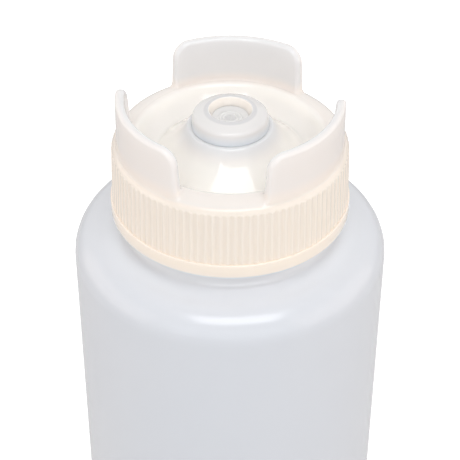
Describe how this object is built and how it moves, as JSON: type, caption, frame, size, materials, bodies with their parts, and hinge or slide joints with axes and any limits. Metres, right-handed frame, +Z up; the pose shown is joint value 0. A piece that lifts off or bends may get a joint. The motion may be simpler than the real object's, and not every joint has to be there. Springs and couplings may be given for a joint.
{
  "type": "condiment squeeze bottle",
  "caption": "Upright condiment squeeze bottle with a translucent barrel, screw-on valve cap with standing fins, and a screw-on refill cap at its foot.",
  "frame": {"origin": "centre of the face that the bottle stands on, under the refill cap", "axes": "+Z up along the bottle's axis to the dispensing end, +Y towards the middle of one standing fin"},
  "size_m": [0.0756, 0.0756, 0.2166],
  "materials": {
    "bottle": "translucent low-density polyethylene, satin",
    "cap": "natural polypropylene, moulded, semi-gloss",
    "retainer": "clear polypropylene, moulded",
    "silicone": "translucent silicone rubber",
    "gasket": "soft white elastomer"
  },
  "bodies": {
    "bottle": {"bottle_body": "bottle"},
    "cap_seal": {"cap_gasket": "gasket"},
    "cap": {"dispensing_cap": "cap", "valve_retainer": "retainer", "valve": "silicone"},
    "refill_seal": {"refill_gasket": "gasket"},
    "refill": {"refill_cap": "cap"}
  },
  "joints": [
    {"name": "cap_lift", "type": "slide", "parent": "bottle", "child": "cap_seal", "axis": [0, 0, 1], "range_m": [0, 0.00741]},
    {"name": "cap_turn", "type": "hinge", "parent": "cap_seal", "child": "cap", "pos_m": [0, 0, 0.195], "axis": [0, 0, 1], "range_deg": [0, 630]},
    {"name": "refill_lift", "type": "slide", "parent": "bottle", "child": "refill_seal", "axis": [0, 0, -1], "range_m": [0, 0.00741]},
    {"name": "refill_turn", "type": "hinge", "parent": "refill_seal", "child": "refill", "pos_m": [0, 0, 0.008], "axis": [0, 0, -1], "range_deg": [0, 630]}
  ],
  "couplings": [
    {"joint": "cap_lift", "follows": "cap_turn", "m_per_rad": 0.0006737},
    {"joint": "refill_lift", "follows": "refill_turn", "m_per_rad": 0.0006737}
  ]
}
